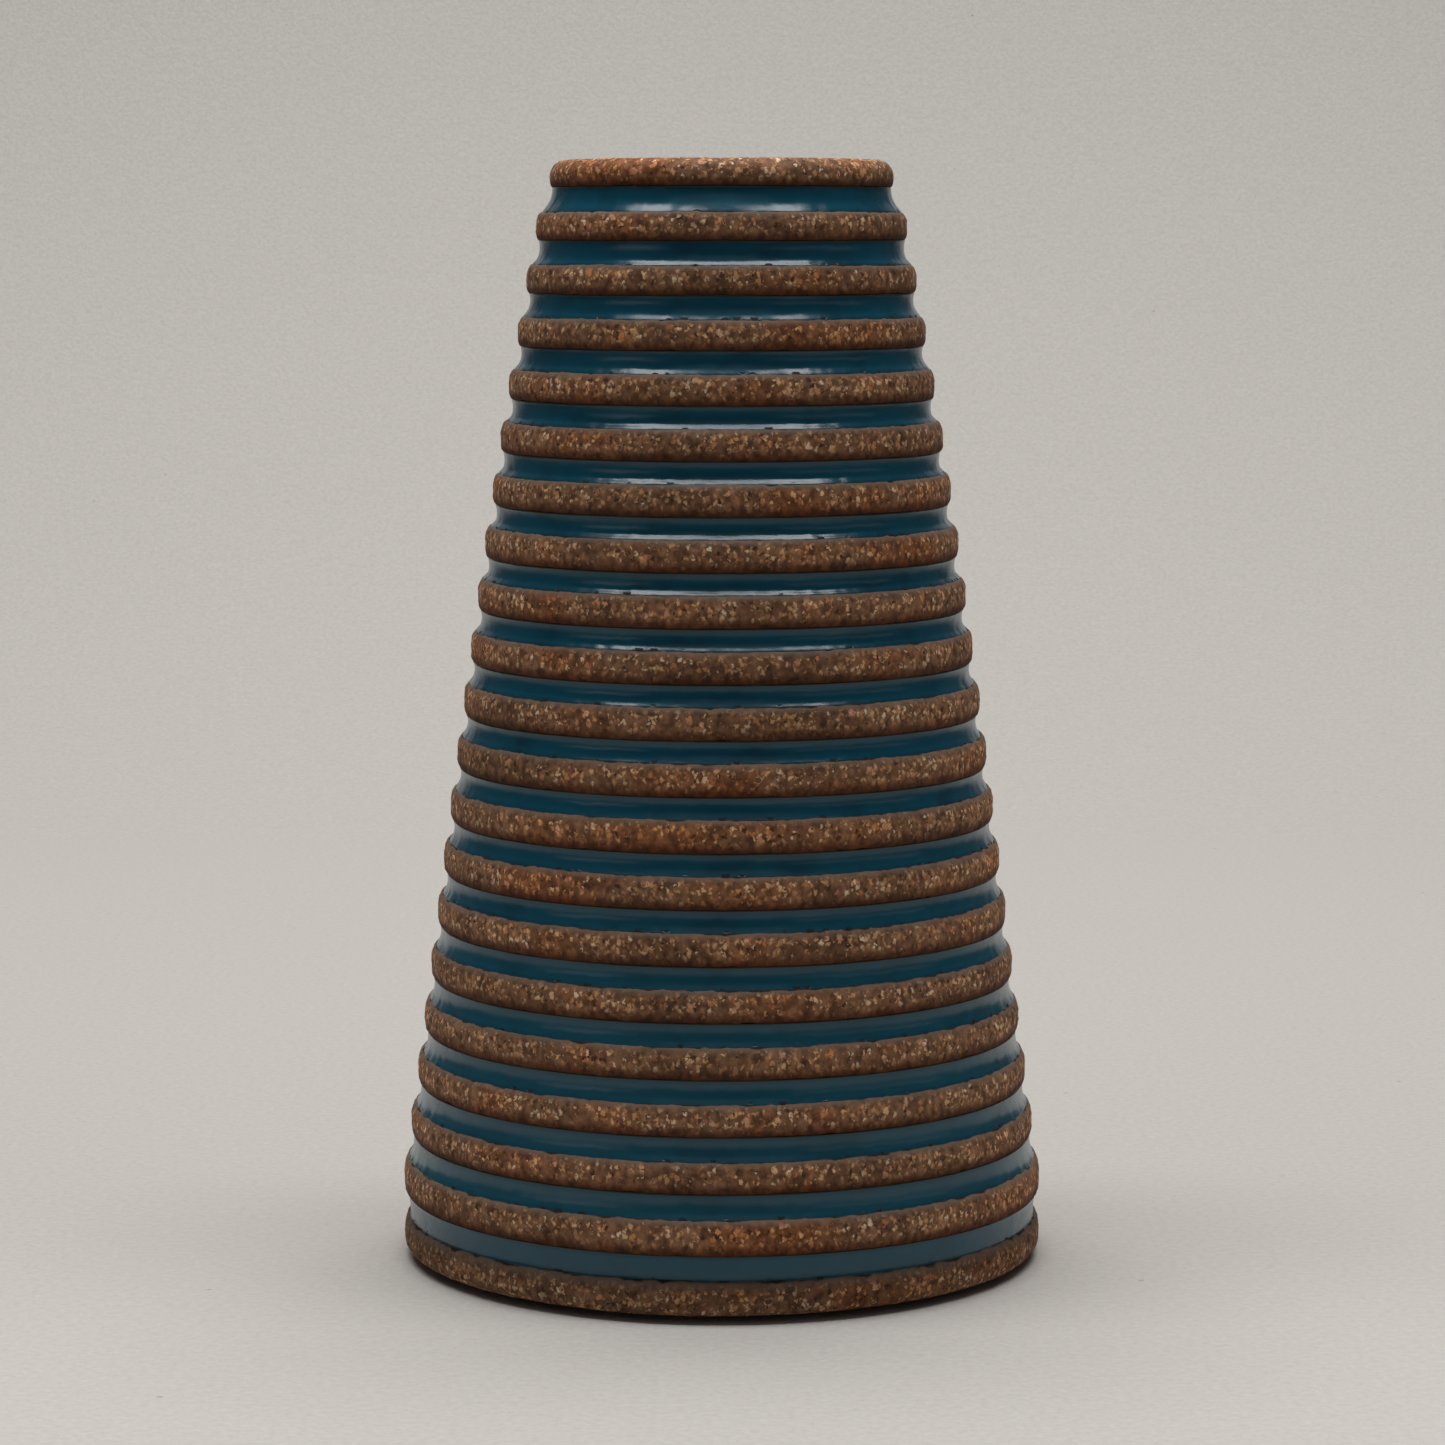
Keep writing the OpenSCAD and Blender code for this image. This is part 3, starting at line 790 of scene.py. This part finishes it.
groove_glaze = make_glaze("glossy teal glaze", "#0b4f63", "#093e50", "#27433f", "#4d382a")
liner_glaze = make_glaze("poured teal liner glaze", "#0a5064", "#125a6c", "#3a5f5c", "#5f4735")
finish = {"bare_stoneware": stoneware, "teal_glaze": groove_glaze, "liner_glaze": liner_glaze}
for name in made:
    piece = bpy.data.objects[name]
    piece.data.materials.append(finish[piece["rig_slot"]])
print("materials:", ", ".join(material.name for material in finish.values()))

# %% [markdown]
# ## Stage, light and camera
#
# A plain pale sweep: floor, a wide bend and a wall behind. The main light is a long softbox overhead and
# slightly in front, so it edges the glaze at each shoulder, and the bright floor lights the ribs from
# below. A second softbox lights the wall behind, and a weak scrim in front fills the shade. Long low
# panels at both sides stand for windows: they draw the pale soft streaks at the sides of the glaze. The
# room is dim otherwise, which keeps the middle of the glaze deep.

# %% Build the sweep
# Its outline is in metres as [y, z], from the front edge of the floor to the top of the wall.
BACK = 0.75
BEND = 0.35
HALF_WIDTH = 0.62
floor_run = np.array([[-0.35, 0.0], [-0.2, 0.0], [0.0, 0.0], [0.25, 0.0]])
curve = arc(BACK - BEND, BEND, BEND, -90, 0, 24)
rise_run = np.array([[BACK, 0.6], [BACK, 1.2], [BACK, 2.2]])
sweep = np.concatenate([floor_run, curve, rise_run])
xs = np.linspace(-HALF_WIDTH, HALF_WIDTH, 9)
sweep_points = np.array([[x, y, z] for y, z in sweep for x in xs])
nx = len(xs)
sweep_faces = [(j * nx + k, j * nx + k + 1, (j + 1) * nx + k + 1, (j + 1) * nx + k)
               for j in range(len(sweep) - 1) for k in range(nx - 1)]
stage_mesh = bpy.data.meshes.new("pale_sweep")
stage_mesh.from_pydata(sweep_points.tolist(), [], sweep_faces)
stage_mesh.polygons.foreach_set("use_smooth", np.ones(len(sweep_faces), bool))
stage = bpy.data.objects.new("pale_sweep", stage_mesh)
bpy.context.scene.collection.objects.link(stage)

# %% Paint the sweep
paint, tree, shader = new_material("pale painted sweep", "#c9c4be")
place = add(tree, "ShaderNodeTexCoord").outputs["Object"]
fine = add(tree, "ShaderNodeTexNoise", inputs={"Vector": place, "Scale": 900.0, "Detail": 4.0,
                                               "Roughness": 0.6}).outputs["Fac"]
tint = add(tree, "ShaderNodeValToRGB", inputs={"Fac": fine}, stops=[(0.3, "#b2aea9"), (0.7, "#bcb8b2")])
# Painted light and shade: the sweep is drawn lighter towards the front, and darker towards both sides as
# painted shade where the light falls off.
spot_on = add(tree, "ShaderNodeSeparateXYZ", inputs={"Vector": place})
painted_light = add(tree, "ShaderNodeMapRange",
            inputs={"Value": spot_on.outputs["Y"], "From Min": 0.03, "From Max": -0.09,
                                                "To Min": 1.0, "To Max": 1.15}).outputs[0]
aside = add(tree, "ShaderNodeMath", {"operation": "ABSOLUTE"}, {0: spot_on.outputs["X"]}).outputs[0]
painted_side_shade = add(tree, "ShaderNodeMapRange", inputs={"Value": aside, "From Min": 0.24, "From Max": 0.52,
                                               "To Min": 1.0, "To Max": 0.12}).outputs[0]
painted_light = add(tree, "ShaderNodeMath", {"operation": "MULTIPLY"}, {0: painted_light, 1: painted_side_shade}).outputs[0]
tint = add(tree, "ShaderNodeVectorMath", {"operation": "SCALE"}, {0: tint.outputs["Color"], 3: painted_light})
# Stray crumbs of dust, a few to a hand's breadth.
dust = add(tree, "ShaderNodeTexVoronoi", inputs={"Vector": place, "Scale": 160.0})
chance = add(tree, "ShaderNodeSeparateColor", inputs={"Color": dust.outputs["Color"]})
few = add(tree, "ShaderNodeMath", {"operation": "LESS_THAN"},
          {0: chance.outputs["Red"], 1: 0.10}).outputs[0]
reach = add(tree, "ShaderNodeMapRange", inputs={"Value": chance.outputs["Blue"], "To Min": 0.015,
                                                "To Max": 0.07}).outputs[0]
spot = add(tree, "ShaderNodeMath", {"operation": "LESS_THAN"},
           {0: dust.outputs["Distance"], 1: reach}).outputs[0]
spot = add(tree, "ShaderNodeMath", {"operation": "MULTIPLY"}, {0: spot, 1: few}).outputs[0]
spot = add(tree, "ShaderNodeMath", {"operation": "MULTIPLY"}, {0: spot, 1: 0.4}).outputs[0]
tint = add(tree, "ShaderNodeMix", {"data_type": "RGBA"},
           {0: spot, 6: tint.outputs["Vector"], 7: linear("#7d746b")}).outputs[2]
bump = add(tree, "ShaderNodeBump", inputs={"Height": fine, "Strength": 0.6, "Distance": 0.3 * MM})
tree.links.new(tint, shader.inputs["Base Color"])
tree.links.new(bump.outputs["Normal"], shader.inputs["Normal"])
shader.inputs["Roughness"].default_value = 0.95
shader.inputs["Specular IOR Level"].default_value = 0.15
stage_mesh.materials.append(paint)


# %% Hang the lights
def softbox(name, centre, target, size, power, tint):
    """A rectangle area light at centre, facing target."""
    lamp = bpy.data.lights.new(name, "AREA")
    lamp.shape = "RECTANGLE"
    lamp.size, lamp.size_y = size
    lamp.energy = power
    lamp.color = linear(tint)[:3]
    holder = bpy.data.objects.new(name, lamp)
    bpy.context.scene.collection.objects.link(holder)
    holder.location = centre
    holder.rotation_mode = "QUATERNION"
    holder.rotation_quaternion = (Vector(centre) - Vector(target)).to_track_quat("Z", "Y")


softbox("overhead_strip", (-0.03, -0.03, 1.25), (-0.03, -0.03, 0.0), (1.35, 0.36), 13.0, "#ffffff")
softbox("back_softbox", (0.0, 0.42, 1.20), (0.0, 0.30, 0.0), (0.90, 0.35), 6.8, "#ffffff")
softbox("front_scrim", (0.0, -0.80, 1.00), (0.0, 0.0, 0.05), (1.00, 0.90), 0.55, "#f4f7ff")
softbox("left_window", (-1.20, -0.85, 0.16), (0.0, 0.0, 0.10), (1.00, 0.26), 0.35, "#f2f6ff")
softbox("left_window_middle", (-1.18, -0.83, 0.16), (0.0, 0.0, 0.10), (0.55, 0.22), 0.15, "#f2f6ff")
softbox("right_window_front", (1.02, -0.98, 0.16), (0.0, 0.0, 0.10), (0.80, 0.20), 0.20, "#f2f6ff")
softbox("right_window", (1.45, -0.35, 0.16), (0.0, 0.0, 0.10), (0.70, 0.24), 0.20, "#f2f6ff")
world = bpy.data.worlds.new("dim_room")
world.use_nodes = True
background = world.node_tree.nodes["Background"]
background.inputs["Color"].default_value = linear("#e9eaee")
background.inputs["Strength"].default_value = 0.07
bpy.context.scene.world = world

# %% Set the camera
# It stands 584 mm in front of the axis, just under the height of the rim, and looks down by 6.5 degrees.
camera_data = bpy.data.cameras.new("camera")
camera_data.sensor_width = 36.0
camera_data.lens = 106.7
camera = bpy.data.objects.new("camera", camera_data)
bpy.context.scene.collection.objects.link(camera)
camera.location = (0.0001, -0.5844, 0.13973)
camera.rotation_euler = (np.radians(90 - 6.475), 0, 0)
bpy.context.scene.camera = camera
bpy.context.scene.view_settings.view_transform = "Standard"
